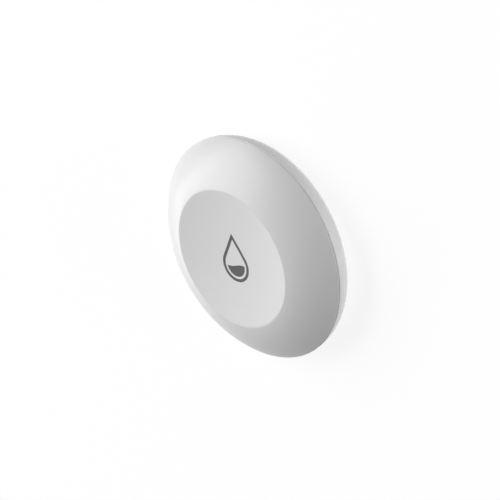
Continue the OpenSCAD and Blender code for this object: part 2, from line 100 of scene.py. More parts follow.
# Rounds that settle where the water of the mark meets its disc
SETTLE_ROUNDS = 8


# Surfaces


@dataclass(frozen=True)
class Corner:
    """One corner of a section in millimetres, and the radius that rounds it."""

    r: float
    z: float
    fillet: float = 0.0


def rounded_section(corners: list[Corner], closed: bool) -> np.ndarray:
    """Round the corners of a section with arcs.

    A corner P lies between the unit directions a, to the corner before it, and b, to the one
    after. Half the angle between them is h. A fillet of radius f has its centre f / sin(h)
    from P along a + b, starts f / tan(h) from P along a, and turns by 180 degrees less 2 h.
    A corner without a fillet stays a point.

    Args:
        corners: The section's corners in order.
        closed: Whether the last corner joins the first.

    Returns:
        The rounded section as rows of (r, z) in millimetres.
    """
    points = np.array([(c.r, c.z) for c in corners])
    radii = np.array([c.fillet for c in corners])
    if not closed:
        radii[[0, -1]] = 0.0
    ways = [np.roll(points, shift, axis=0) - points for shift in (1, -1)]
    before, after = [w / np.linalg.norm(w, axis=1, keepdims=True) for w in ways]
    half = np.arccos(np.clip(np.sum(before * after, axis=1), -1.0, 1.0)) / 2
    middle = before + after
    middle /= np.maximum(np.linalg.norm(middle, axis=1, keepdims=True), LEAST_LENGTH)
    centre = points + middle * (radii / np.sin(half))[:, None]
    start = points + before * (radii / np.tan(half))[:, None] - centre
    side = np.sign(before[:, 1] * after[:, 0] - before[:, 0] * after[:, 1])
    angle = np.linspace(0.0, 1.0, CORNER_STEPS + 1) * ((math.pi - 2 * half) * side)[:, None]
    x, z = start[:, :1], start[:, 1:]
    turned = [x * np.cos(angle) - z * np.sin(angle), x * np.sin(angle) + z * np.cos(angle)]
    arcs = centre[:, None, :] + np.stack(turned, axis=-1)
    return np.concatenate([arcs[i] if radii[i] > 0 else points[i : i + 1] for i in range(len(corners))])


def as_corners(rows: np.ndarray) -> list[Corner]:
    """Rows of (r, z) as corners without fillets."""
    return [Corner(*row) for row in rows.tolist()]


def rod(
    radius: float, low: float, high: float, low_fillet: float = 0.0, high_fillet: float = 0.0
) -> list[Corner]:
    """Section of a plain rod or disc on the axis.

    Args:
        radius: Radius of the rod.
        low: Height of its underside.
        high: Height of its top.
        low_fillet: Radius that rounds its lower edge.
        high_fillet: Radius that rounds its upper edge.

    Returns:
        The section's corners, from the axis out and back to it.
    """
    edge = [Corner(radius, low, low_fillet), Corner(radius, high, high_fillet)]
    return [Corner(0, low), *edge, Corner(0, high)]


def arc_between(start: Corner, end: Corner, bulge: float) -> list[Corner]:
    """Points of an arc between two corners, without its ends.

    The arc stands proud of its chord c by the bulge b, on the right of the way from start to
    end. Its radius is c^2 / (8 b) + b / 2.

    Args:
        start: Where the arc starts.
        end: Where the arc ends.
        bulge: Height of the arc over its chord.

    Returns:
        The arc's inner points.
    """
    a, b = np.array([start.r, start.z]), np.array([end.r, end.z])
    chord = float(np.linalg.norm(b - a))
    radius = chord**2 / (8 * bulge) + bulge / 2
    right = np.array([b[1] - a[1], a[0] - b[0]]) / chord
    centre = (a + b) / 2 - right * (radius - bulge)
    first = math.atan2(a[1] - centre[1], a[0] - centre[0])
    sweep = 2 * math.asin(min(1.0, chord / (2 * radius)))
    turn = first + np.linspace(0.0, sweep, ARC_STEPS + 1)[1:-1]
    return as_corners(centre + radius * np.stack([np.cos(turn), np.sin(turn)], axis=-1))


def grid_faces(rows: int, columns: int, wrap_rows: bool, wrap_columns: bool) -> np.ndarray:
    """Quads of a grid of points that are numbered row by row.

    Args:
        rows: Number of rows of points.
        columns: Number of points in a row.
        wrap_rows: Whether the last row joins the first.
        wrap_columns: Whether the last column joins the first.

    Returns:
        Four point numbers for each quad.
    """
    i = np.arange(rows if wrap_rows else rows - 1)[:, None]
    j = np.arange(columns if wrap_columns else columns - 1)[None, :]
    up, over = (i + 1) % rows, (j + 1) % columns
    corners = [i * columns + j, i * columns + over, up * columns + over, up * columns + j]
    return np.stack(np.broadcast_arrays(*corners), axis=-1).reshape(-1, 4)


def soften(mesh: bpy.types.Mesh) -> None:
    """Shade a mesh smoothly, apart from its sharp edges."""
    mesh.shade_smooth()
    mesh.set_sharp_from_angle(angle=math.radians(SHARP_DEG))


def placed(name: str, data: bpy.types.ID) -> bpy.types.Object:
    """Link a new object into the scene, at the origin.

    Args:
        name: Name of the object.
        data: Its mesh, lamp or camera.

    Returns:
        The new object.
    """
    made = bpy.data.objects.new(name, data)
    bpy.context.scene.collection.objects.link(made)
    return made


@dataclass
class Surface:
    """Points in millimetres and quads of one mesh, before it becomes a Blender object."""

    points: np.ndarray
    quads: np.ndarray

    def moved(self, x: float, y: float) -> Surface:
        """The same surface moved across the floor."""
        return Surface(self.points + np.array([x, y, 0.0]), self.quads)

    def turned(self, angle: float) -> Surface:
        """The same surface turned about Z by an angle in degrees."""
        c, s = math.cos(math.radians(angle)), math.sin(math.radians(angle))
        return Surface(self.points @ np.array([[c, s, 0.0], [-s, c, 0.0], [0.0, 0.0, 1.0]]), self.quads)

    def laid(self, height: float) -> Surface:
        """The same surface tipped over, so that its axis lies along X at a height."""
        x, y, z = self.points.T
        return Surface(np.stack([z, y, height - x], axis=-1), self.quads)

    def piece(self, name: str) -> bpy.types.Object:
        """Make a smooth-shaded object at the origin, with doubles merged and faces outwards.

        Args:
            name: Name of the object.

        Returns:
            The new object.
        """
        mesh = bpy.data.meshes.new(name)
        mesh.from_pydata((self.points * MM).tolist(), [], self.quads.tolist())
        work = bmesh.new()
        work.from_mesh(mesh)
        bmesh.ops.remove_doubles(work, verts=work.verts, dist=MERGE_MM * MM)
        bmesh.ops.recalc_face_normals(work, faces=work.faces)
        work.to_mesh(mesh)
        work.free()
        soften(mesh)
        return placed(name, mesh)


def together(surfaces: list[Surface]) -> Surface:
    """Join several surfaces into one, without changing their points.

    Args:
        surfaces: The surfaces.

    Returns:
        One surface that holds them all.
    """
    starts = np.cumsum([0] + [len(s.points) for s in surfaces[:-1]])
    quads = np.concatenate([s.quads + n for s, n in zip(surfaces, starts)])
    return Surface(np.concatenate([s.points for s in surfaces]), quads)


def revolve(
    corners: list[Corner], closed: bool = False, steps: int = HOLE_STEPS, stretch: float = 0.0
) -> Surface:
    """Turn a section about Z: x = r cos t and y = r sin t for a full turn of t.

    A stretch parts the two halves of the turn along X, which makes a slot of a round hole.

    Args:
        corners: The section. One that isn't closed starts and ends on the axis.
        closed: Whether the section's last corner joins its first.
        steps: Number of steps in the turn.
        stretch: Length of the straight sides between the two halves.

    Returns:
        The surface of revolution.
    """
    section = rounded_section(corners, closed)
    t = (np.arange(steps) + 0.5) * (2 * math.pi / steps)
    r, z = section[:, :1], section[:, 1:]
    x = r * np.cos(t) + np.sign(np.cos(t)) * stretch / 2
    points = np.stack([x, r * np.sin(t), z + 0 * t], axis=-1).reshape(-1, 3)
    return Surface(points, grid_faces(len(section), steps, closed, True))


def drill(radius: float, mouth: float, end: float, chamfer: float, stretch: float = 0.0) -> Surface:
    """A cutter for a blind hole from below, with a chamfer at its mouth.

    Args:
        radius: Radius of the hole, or half the width of a slot.
        mouth: Height of the face that the hole opens in.
        end: Height of the hole's end.
        chamfer: Width of the chamfer.
        stretch: Length of a slot's straight sides.

    Returns:
        The closed cutter about Z.
    """
    wide = radius + chamfer
    section = [
        Corner(0, mouth - OVERSHOOT), Corner(wide, mouth - OVERSHOOT), Corner(wide, mouth),
        Corner(radius, mouth + chamfer), Corner(radius, end), Corner(0, end),
    ]
    return revolve(section, stretch=stretch)


def slab(across: np.ndarray, low: np.ndarray, high: np.ndarray) -> Surface:
    """Close a patch of the plane into a solid between two heights at each of its points.

    Args:
        across: Grid of (x, y) points, rows by columns by two.
        low: Height of the underside at each point.
        high: Height of the top at each point.

    Returns:
        Top, underside and side strips as one surface.
    """
    rows, columns = low.shape
    count = rows * columns
    number = np.arange(count).reshape(rows, columns)
    rim = np.concatenate([number[0, :-1], number[:-1, -1], number[-1, :0:-1], number[:0:-1, 0]])
    ahead = np.roll(rim, -1)
    walls = np.stack([rim, ahead, ahead + count, rim + count], axis=-1)
    faces = grid_faces(rows, columns, False, False)
    layers = [np.dstack([across, z]).reshape(-1, 3) for z in (high, low)]
    return Surface(np.concatenate(layers), np.concatenate([faces, faces + count, walls]))


def combine(piece: bpy.types.Object, surface: Surface, operation: str) -> None:
    """Add a surface to a piece or cut it away, for shapes that aren't round about Z.

    Args:
        piece: The object that is changed.
        surface: The closed surface to add or to cut away.
        operation: UNION or DIFFERENCE.
    """
    tool = surface.piece(f"{piece.name}_{operation.lower()}")
    step = piece.modifiers.new(tool.name, "BOOLEAN")
    step.operation = operation
    step.solver = "EXACT"
    step.object = tool
    graph = bpy.context.evaluated_depsgraph_get()
    finished = bpy.data.meshes.new_from_object(piece.evaluated_get(graph))
    piece.modifiers.clear()
    old, piece.data = piece.data, finished
    tool_mesh = tool.data
    bpy.data.objects.remove(tool)
    for mesh in (old, tool_mesh):
        bpy.data.meshes.remove(mesh)
    soften(piece.data)


# Finishes

# Octaves in the noise of a grain and of a cloud of colour
GRAIN_DETAIL = 2.0
CLOUD_DETAIL = 3.0
# How far lathe rings waver, and the scale of hairlines along their own length
RING_WAVER = 0.4
HAIRLINE_SCALE = 0.03
# How far light spreads inside silicone and resin
SCATTER_MM = 1.0


class Pattern(Enum):
    """What the tool or the process left on a surface."""

    GRAIN = "bumps of an eroded mould, a casting or a foam"
    BRUSHED = "straight hairlines along X"
    TURNED = "lathe rings about the nearer probe"
    WOVEN = "glass cloth under a coating"


def linear(colour: str) -> tuple[float, float, float, float]:
    """Turn an sRGB colour to linear light by the formula of the sRGB standard.

    Args:
        colour: A hex value such as #e8e8e6.

    Returns:
        Linear red, green and blue, and an alpha of 1.
    """
    parts = [int(colour[i : i + 2], 16) / 255 for i in (1, 3, 5)]
    red, green, blue = [p / 12.92 if p <= 0.04045 else ((p + 0.055) / 1.055) ** 2.4 for p in parts]
    return (red, green, blue, 1.0)


def grey(level: float) -> tuple[float, float, float, float]:
    """A linear grey from 0, black, to 1, white, with an alpha of 1."""
    return (level, level, level, 1.0)


def fresh_tree(owner: bpy.types.Material | bpy.types.World) -> bpy.types.NodeTree:
    """Give a material or a world an empty node tree.

    Args:
        owner: The material or the world.

    Returns:
        Its node tree.
    """
    owner.use_nodes = True
    owner.node_tree.nodes.clear()
    return owner.node_tree


def add_node(
    tree: bpy.types.NodeTree, kind: str, sockets: dict | None = None, **settings: object
) -> bpy.types.Node:
    """Add one shader node.

    Args:
        tree: The node tree that gets it.
        kind: The node's type name.
        sockets: Each input's name or number, with its value or the output that feeds it.
        **settings: Properties of the node itself.

    Returns:
        The new node.
    """
    made = tree.nodes.new(kind)
    for key, value in settings.items():
        setattr(made, key, value)
    for key, value in (sockets or {}).items():
        if isinstance(value, bpy.types.NodeSocket):
            tree.links.new(value, made.inputs[key])
        else:
            made.inputs[key].default_value = value
    return made


@dataclass(frozen=True)
class Finish:
    """One real finish: two close colours, its gloss, and the pattern that its making left."""

    name: str
    colour: str
    shade: str
    roughness: float
    metallic: float = 0.0
    ior: float = 1.5
    pattern: Pattern = Pattern.GRAIN
    pitch_mm: float = 0.4
    depth_mm: float = 0.003
    cloud_mm: float = 9.0
    gloss_spread: float = 0.04
    subsurface: float = 0.0

    def height(self, tree: bpy.types.NodeTree, place: bpy.types.NodeSocket) -> bpy.types.NodeSocket:
        """Height of the surface pattern.

        A wave of Blender's has a period of pi / (10 scale), and a noise about 1 / scale.

        Args:
            tree: The material's node tree.
            place: Object coordinates in metres.

        Returns:
            The output that gives the height from 0 to 1.
        """
        noise_scale = 1 / (self.pitch_mm * MM)
        wave_scale = math.pi / (10 * self.pitch_mm * MM)
        if self.pattern is Pattern.TURNED:
            ring_r = Datum.measured().ring_r * MM
            part = add_node(tree, "ShaderNodeSeparateXYZ", {"Vector": place})
            side = add_node(tree, "ShaderNodeMath", {0: part.outputs["X"]}, operation="ABSOLUTE")
            near = add_node(tree, "ShaderNodeMath", {0: side.outputs[0], 1: ring_r}, operation="SUBTRACT")
            flat = add_node(tree, "ShaderNodeCombineXYZ", {"X": near.outputs[0], "Y": part.outputs["Y"]})
            rings = {"Vector": flat.outputs[0], "Scale": wave_scale, "Distortion": RING_WAVER}
            kinds = {"wave_type": "RINGS", "rings_direction": "Z"}
            return add_node(tree, "ShaderNodeTexWave", rings, **kinds).outputs["Fac"]
        if self.pattern is Pattern.WOVEN:
            bands = [
                add_node(tree, "ShaderNodeTexWave", {"Vector": place, "Scale": wave_scale}, bands_direction=d)
                for d in ("X", "Y")
            ]
            inputs = {i: band.outputs["Fac"] for i, band in enumerate(bands)}
            return add_node(tree, "ShaderNodeMath", inputs, operation="MULTIPLY").outputs[0]
        if self.pattern is Pattern.BRUSHED:
            hairlines = {"Vector": place, "Scale": (HAIRLINE_SCALE, 1.0, 1.0)}
            place = add_node(tree, "ShaderNodeMapping", hairlines).outputs["Vector"]
        grain = {"Vector": place, "Scale": noise_scale, "Detail": GRAIN_DETAIL}
        return add_node(tree, "ShaderNodeTexNoise", grain).outputs["Fac"]

    def material(self) -> bpy.types.Material:
        """Build the finish with clouds of colour, varying gloss and a bump.

        Returns:
            The new material.
        """
        made = bpy.data.materials.new(self.name)
        tree = fresh_tree(made)
        place = add_node(tree, "ShaderNodeTexCoord").outputs["Object"]
        clouds = {"Vector": place, "Scale": 1 / (self.cloud_mm * MM), "Detail": CLOUD_DETAIL}
        cloud = add_node(tree, "ShaderNodeTexNoise", clouds).outputs["Fac"]
        mix = {0: cloud, 6: linear(self.colour), 7: linear(self.shade)}
        tint = add_node(tree, "ShaderNodeMix", mix, data_type="RGBA").outputs[2]
        height = self.height(tree, place)
        low, high = self.roughness - self.gloss_spread, self.roughness + self.gloss_spread
        gloss = add_node(tree, "ShaderNodeMapRange", {"Value": height, "To Min": low, "To Max": high})
        bump = add_node(tree, "ShaderNodeBump", {"Height": height, "Distance": self.depth_mm * MM})
        surface = {
            "Base Color": tint, "Roughness": gloss.outputs["Result"], "Normal": bump.outputs["Normal"],
            "Metallic": self.metallic, "Subsurface Weight": self.subsurface,
            "Subsurface Radius": [SCATTER_MM * MM] * 3,
        }
        if not self.metallic:
            surface["IOR"] = self.ior
        shader = add_node(tree, "ShaderNodeBsdfPrincipled", surface)
        add_node(tree, "ShaderNodeOutputMaterial", {"Surface": shader.outputs["BSDF"]})
        return made


FINISHES = {
    # White ABS from a spark-eroded mould: an even, dry white with a broad soft highlight. The
    # real grain is about 0.1 mm, and is drawn coarser so that it shows at all.
    "cover_plastic": Finish("moulded_abs_cover", "#ececec", "#e8e8e8", 0.36, ior=1.53, pitch_mm=0.45),
    "button_plastic": Finish("moulded_abs_button", "#ececec", "#e8e8e8", 0.48, ior=1.53, pitch_mm=0.45),
    "base_plastic": Finish("moulded_abs_base", "#ebebeb", "#e7e7e7", 0.22, ior=1.53, pitch_mm=0.45),
    # Dark grey ABS inlay: flat and a little drier than the white around it.
    "mark_grey": Finish("moulded_abs_inlay", "#3c3c3e", "#353537", 0.5, ior=1.53, pitch_mm=0.3),
    # Moulded silicone: milky, soft-edged, with a dusty grip.
    "foot_silicone": Finish(
        "moulded_silicone_foot", "#c9c9c6", "#bfbfbc", 0.6, ior=1.41, pitch_mm=0.3, subsurface=0.2
    ),
    "membrane_silicone": Finish(
        "moulded_silicone_sheet", "#d6d6d3", "#cecec9", 0.5, ior=1.41, subsurface=0.2
    ),
    # Nitrile rubber: dull black with a trace of bloom.
    "seal_rubber": Finish("moulded_nitrile_rubber", "#2a2a2b", "#343435", 0.62, ior=1.52, pitch_mm=0.2),
    # Closed-cell foam: rough, matt and full of small pits where the knife opened its cells.
    "pad_foam": Finish("cut_polyurethane_foam", "#4a4a4c", "#38383a", 0.92, pitch_mm=0.5, depth_mm=0.08),
    # Turned stainless steel: bright, with fine rings from the facing cut.
    "probe_steel": Finish(
        "turned_stainless_steel", "#c6c4bf", "#b9b7b2", 0.26, 1.0, pattern=Pattern.TURNED, pitch_mm=0.16,
        depth_mm=0.004,
    ),
    # Zinc-plated steel: grey with a satin bloom.
    "fastener_steel": Finish("plated_zinc_steel", "#b8bbbd", "#a9acae", 0.36, 1.0, pitch_mm=0.25),
    # Nickel-plated cell can, tinned sheet and gold-plated spring: hairlines along the rolling.
    "cell_steel": Finish(
        "rolled_nickel_can", "#c5c3bd", "#b7b5af", 0.24, 1.0, pattern=Pattern.BRUSHED, pitch_mm=0.2
    ),
    "shield_metal": Finish(
        "rolled_tinned_steel", "#bdbcb6", "#b0afa9", 0.33, 1.0, pattern=Pattern.BRUSHED, pitch_mm=0.2
    ),
    "contact_metal": Finish(
        "plated_gold_bronze", "#d8b466", "#c9a354", 0.28, 1.0, pattern=Pattern.BRUSHED, pitch_mm=0.15
    ),
    # Glass-cloth laminate under solder resist: a glossy coat with a faint weave below.
    "board_laminate": Finish(
        "coated_glass_laminate", "#1d5b35", "#174d2b", 0.36, ior=1.52, pattern=Pattern.WOVEN, pitch_mm=0.6
    ),
    "module_laminate": Finish(
        "coated_module_laminate", "#1b2c55", "#162547", 0.36, ior=1.52, pattern=Pattern.WOVEN, pitch_mm=0.6
    ),
    # Moulded epoxy, fired ceramics and cast resin of the small parts.
    "chip_epoxy": Finish("moulded_black_epoxy", "#242426", "#1d1d1f", 0.58, pitch_mm=0.12),
    "white_ceramic": Finish("fired_white_ceramic", "#e6e3dc", "#dcd9d1", 0.5, ior=1.7, pitch_mm=0.2),
    "led_resin": Finish(
        "cast_clear_resin", "#efe8c8", "#e8dfb6", 0.16, ior=1.52, pitch_mm=0.3, subsurface=0.3
    ),
    "capacitor_ceramic": Finish("fired_tan_ceramic", "#a98c66", "#9b7e58", 0.48, ior=1.7, pitch_mm=0.2),
    "plunger_plastic": Finish("moulded_black_nylon", "#2b2b2d", "#232325", 0.48, ior=1.53, pitch_mm=0.2),
}


class Shelf:
    """Keeps one material for each slot of the record, and fixes pieces to the frame."""

    def __init__(self) -> None:
        """Start with no material made."""
        self.made: dict[str, bpy.types.Material] = {}

    def material(self, slot: str) -> bpy.types.Material:
        """Make a slot's material when it is first asked for.

        Args:
            slot: The record's material slot.

        Returns:
            The one material of that slot.
        """
        if slot not in self.made:
            self.made[slot] = FINISHES[slot].material()
        return self.made[slot]

    def dress(self, piece: bpy.types.Object, slot: str, node: str) -> None:
        """Give a piece the finish of a slot, and let it stand for a CAD node.

        Args:
            piece: The new piece.
            slot: The record's material slot.
            node: The CAD node that it replaces.
        """
        piece.data.materials.clear()
        piece.data.materials.append(self.material(slot))
        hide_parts(node)
        LOG.info("%s: %d faces, stands for %s", piece.name, len(piece.data.polygons), node)

    def fix(self, piece: bpy.types.Object, body: str, slot: str, node: str) -> None:
        """Dress a piece with a slot's finish in place of a CAD node, and let it ride on a body."""
        self.dress(piece, slot, node)
        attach(piece, body)


# Sub-assemblies


@dataclass(frozen=True)
class Datum:
    """Sizes that the sub-assemblies share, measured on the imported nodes."""

    body_r: float
    under_z: float
    seam_z: float
    top_z: float
    ring_r: float
    head_r: float
    foot_r: float

    @classmethod
    def measured(cls) -> Datum:
        """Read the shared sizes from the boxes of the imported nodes.

        Returns:
            The sizes in millimetres.
        """
        cover_low, cover_high = [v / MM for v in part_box("front_cover")]
        stud_low, stud_high = [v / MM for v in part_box("probe_studs")]
        head_r = (stud_high.y - stud_low.y) / 2
        ring_r = stud_high.x - head_r
        return cls(
            body_r=cover_high.x, under_z=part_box("rear_base")[0].z / MM,
            seam_z=cover_low.z, top_z=cover_high.z,
            ring_r=ring_r, head_r=head_r, foot_r=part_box("foot_pads")[1].y / MM - ring_r,
        )

    def round_ring(self, surface: Surface, angles: tuple[float, ...]) -> list[Surface]:
        """Copies of a surface on the ring of feet and probes, one at each angle in degrees."""
        return [surface.moved(self.ring_r, 0).turned(a) for a in angles]


# Where feet and probes stand on their ring, in degrees from +X
FOOT_ANGLES = (90.0, 210.0, 330.0)
PROBE_ANGLES = (0.0, 180.0)


@dataclass
class Assembly:
    """A sub-assembly: it knows the shared sizes, and builds and dresses its own pieces."""

    datum: Datum

    def build(self, shelf: Shelf) -> None:
        """Make the pieces, give them finishes from the shelf and fix each to its body."""
        raise NotImplementedError


@dataclass
class Cover(Assembly):
    """Domed front cover: a ring shell around the button, with the seat of its membrane."""

    face_r: float = 16.715
    bulge: float = 1.0
    wall: float = 1.6
    lip_z: float = 11.1
    flange_r: float = 17.6
    land_z: float = 10.4
    skirt_in_r: float = 19.9
    skirt_out_r: float = 20.9
    skirt_z: float = 8.7
    cavity_r: float = 23.8
    snap_r: float = 24.05
    snap_low_z: float = 6.65
    snap_high_z: float = 7.15
    seam_fillet: float = 0.13
    face_fillet: float = 0.04
    inner_fillet: float = 0.1

    def inner_dome(self, r: float) -> float:
        """Height of the dome's inner arc, which runs a wall thickness inside the outer one.

        Args:
            r: Distance from the axis.

        Returns:
            The height there.
        """
        rise, run = self.datum.top_z - self.datum.seam_z, self.datum.body_r - self.face_r
        chord = math.hypot(rise, run)
        radius = chord**2 / (8 * self.bulge) + self.bulge / 2
        back = (radius - self.bulge) / chord
        centre_r = (self.datum.body_r + self.face_r) / 2 - rise * back
        centre_z = (self.datum.seam_z + self.datum.top_z) / 2 - run * back
        return centre_z + math.sqrt((radius - self.wall) ** 2 - (r - centre_r) ** 2)

    def section(self) -> list[Corner]:
        """Section of the shell.

        Returns:
            Its corners, from the parting line over the dome and back inside.
        """
        seam = Corner(self.datum.body_r, self.datum.seam_z, self.seam_fillet)
        face = Corner(self.face_r, self.datum.top_z, self.face_fillet)
        inner = np.linspace(self.skirt_out_r, self.cavity_r, ARC_STEPS // 2).tolist()
        return [
            seam, *arc_between(seam, face, self.bulge), face,
            Corner(self.face_r, self.lip_z, self.inner_fillet), Corner(self.flange_r, self.lip_z),
            Corner(self.flange_r, self.land_z), Corner(self.skirt_in_r, self.land_z),
            Corner(self.skirt_in_r, self.skirt_z, self.inner_fillet),
            Corner(self.skirt_out_r, self.skirt_z, self.inner_fillet),
            *[Corner(r, self.inner_dome(r)) for r in inner],
            Corner(self.cavity_r, self.snap_high_z), Corner(self.snap_r, self.snap_high_z),
            Corner(self.snap_r, self.snap_low_z), Corner(self.cavity_r, self.snap_low_z),
            Corner(self.cavity_r, self.datum.seam_z, self.inner_fillet),
        ]

    def build(self, shelf: Shelf) -> None:
        """Turn the section into the shell and fix it to the housing."""
        shell = revolve(self.section(), closed=True, steps=TURN_STEPS).piece("cover_shell")
        shelf.fix(shell, "housing", "cover_plastic", "front_cover")


@dataclass
class Base(Assembly):
    """Rear base: a rounded bowl with the door's pocket and cam collar, pillars and bosses."""

    edge_r: float = 5.7
    wall: float = 1.6
    pocket_r: float = 14.81
    pocket_out_r: float = 16.01
    seat_z: float = 2.8
    step_z: float = 3.6
    collar_r: float = 14.35
    bore_r: float = 12.4
    guide_r: float = 10.2
    guide_z: float = 4.9
    guide_top_z: float = 5.7
    cam_r: float = 13.45
    cam_h: float = 1.5
    cam_z: float = 3.9
    cam_drop: float = 2.5
    cam_turn: float = 60.0
    cam_end: float = 4.0
    groove_in_r: float = 24.4
    groove_out_r: float = 25.6
    groove_z: float = 5.6
    rim_z: float = 4.9
    tongue_in_r: float = 22.7
    tongue_out_r: float = 23.7
    tongue_z: float = 7.3
    bead_r: float = 23.95
    bead_low_z: float = 6.75
    bead_high_z: float = 7.05
    pillar_r: float = 2.1
    pillar_z: float = 6.2
    boss_r: float = 2.6
    screw_r: float = 0.72
    screw_end_z: float = 3.2
    shank_hole_r: float = 1.05
    foot_gap: float = 0.05
    foot_end_z: float = 1.3
    head_gap: float = 0.15
    head_end_z: float = 1.6
    notch_depth: float = 1.8
    notch_w: float = 3.3
    notch_deg: float = 45.0
    seam_fillet: float = 0.13
    mouth_fillet: float = 0.2
    small_fillet: float = 0.08
    hole_chamfer: float = 0.12

    def section(self) -> list[Corner]:
        """Section of the bowl.

        Returns:
            Its corners, from the door's pocket round the outside and back.
        """
        d = self.datum
        floor_z, flat_r, edge_z = d.under_z + self.wall, d.body_r - self.edge_r, d.under_z + self.edge_r
        # A quarter circle stands this share of its radius proud of its chord
        quarter = 1 - math.sqrt(0.5)
        start, end = Corner(flat_r, d.under_z), Corner(d.body_r, edge_z)
        inner_r = self.edge_r - self.wall
        turn = np.linspace(math.asin((edge_z - self.rim_z) / inner_r), math.pi / 2, ARC_STEPS)
        inner = np.stack([flat_r + inner_r * np.cos(turn), edge_z - inner_r * np.sin(turn)], axis=-1)
        return [
            Corner(self.pocket_r, d.under_z, self.mouth_fillet),
            start, *arc_between(start, end, self.edge_r * quarter), end,
            Corner(d.body_r, d.seam_z, self.seam_fillet),
            Corner(self.groove_out_r, d.seam_z, self.small_fillet), Corner(self.groove_out_r, self.groove_z),
            Corner(self.groove_in_r, self.groove_z), Corner(self.groove_in_r, d.seam_z, self.small_fillet),
            Corner(self.tongue_out_r, d.seam_z), Corner(self.tongue_out_r, self.bead_low_z),
            Corner(self.bead_r, self.bead_low_z, self.small_fillet),
            Corner(self.bead_r, self.bead_high_z, self.small_fillet),
            Corner(self.tongue_out_r, self.bead_high_z),
            Corner(self.tongue_out_r, self.tongue_z, self.small_fillet),
            Corner(self.tongue_in_r, self.tongue_z, self.small_fillet), Corner(self.tongue_in_r, self.rim_z),
            *as_corners(inner),
            Corner(self.pocket_out_r, floor_z), Corner(self.pocket_out_r, self.step_z, self.small_fillet),
            Corner(self.collar_r, self.step_z), Corner(self.collar_r, self.guide_top_z, self.small_fillet),
            Corner(self.guide_r, self.guide_top_z, self.small_fillet),
            Corner(self.guide_r, self.guide_z, self.small_fillet), Corner(self.bore_r, self.guide_z),
            Corner(self.bore_r, self.seat_z, self.small_fillet), Corner(self.pocket_r, self.seat_z),
        ]

    def cam_groove(self) -> Surface:
        """A square section carried down a helix, which sinks as it turns clockwise from +X.

        Returns:
            The closed cutter for one pin.
        """
        t = np.linspace(-self.cam_end, self.cam_turn, ARC_STEPS)[:, None]
        inside = self.bore_r - OVERSHOOT / 4
        reach = np.array([inside, self.cam_r, self.cam_r, inside])
        lift = np.array([-1.0, -1.0, 1.0, 1.0]) * self.cam_h / 2
        turn = np.radians(t)
        height = self.cam_z + lift - self.cam_drop * t / self.cam_turn
        points = np.stack([reach * np.cos(turn), -reach * np.sin(turn), height], axis=-1).reshape(-1, 3)
        last = len(points) - 4
        caps = np.array([[0, 1, 2, 3], [last, last + 1, last + 2, last + 3]])
        return Surface(points, np.concatenate([grid_faces(ARC_STEPS, 4, False, True), caps]))

    def raised(self) -> Surface:
        """Pillars for the board's screws and bosses around the probes.

        Returns:
            All of them, rooted in the bowl's wall.
        """
        d = self.datum
        sunk = d.under_z + self.wall / 2
        pillar = revolve(rod(self.pillar_r, sunk, self.pillar_z, high_fillet=self.small_fillet))
        boss = revolve(rod(self.boss_r, sunk, self.step_z - self.small_fillet))
        return together(d.round_ring(pillar, FOOT_ANGLES) + d.round_ring(boss, PROBE_ANGLES))

    def hollows(self) -> Surface:
        """Everything cut away: foot recesses, probe pockets, screw holes, cam grooves, a notch.

        Returns:
            All the cutters.
        """
        d = self.datum
        foot = drill(d.foot_r + self.foot_gap, d.under_z, self.foot_end_z, self.hole_chamfer)
        head = drill(d.head_r + self.head_gap, d.under_z, self.head_end_z, self.hole_chamfer)
        shank = drill(self.shank_hole_r, self.head_end_z, self.step_z + OVERSHOOT, 0.0)
        screw = drill(self.screw_r, self.screw_end_z + OVERSHOOT, self.pillar_z + OVERSHOOT, 0.0)
        sides = np.array([-1, 1]) / 2
        x, y = np.meshgrid(self.guide_r + self.notch_depth * sides, self.notch_w * sides)
        rows = [np.full((2, 2), z) for z in (self.guide_z - OVERSHOOT, self.guide_top_z + OVERSHOOT)]
        parts = [slab(np.dstack([x, y]), *rows).turned(self.notch_deg)]
        parts += [self.cam_groove().turned(a) for a in FOOT_ANGLES]
        for surface, angles in ((foot, FOOT_ANGLES), (screw, FOOT_ANGLES), (head, PROBE_ANGLES)):
            parts += d.round_ring(surface, angles)
        return together(parts + d.round_ring(shank, PROBE_ANGLES))

    def build(self, shelf: Shelf) -> None:
        """Turn the section into the bowl, add and cut its details, and fix it to the housing.

        Args:
            shelf: The materials.
        """
        shell = revolve(self.section(), closed=True, steps=TURN_STEPS).piece("base_shell")
        combine(shell, self.raised(), "UNION")
        combine(shell, self.hollows(), "DIFFERENCE")
        shelf.fix(shell, "housing", "base_plastic", "rear_base")


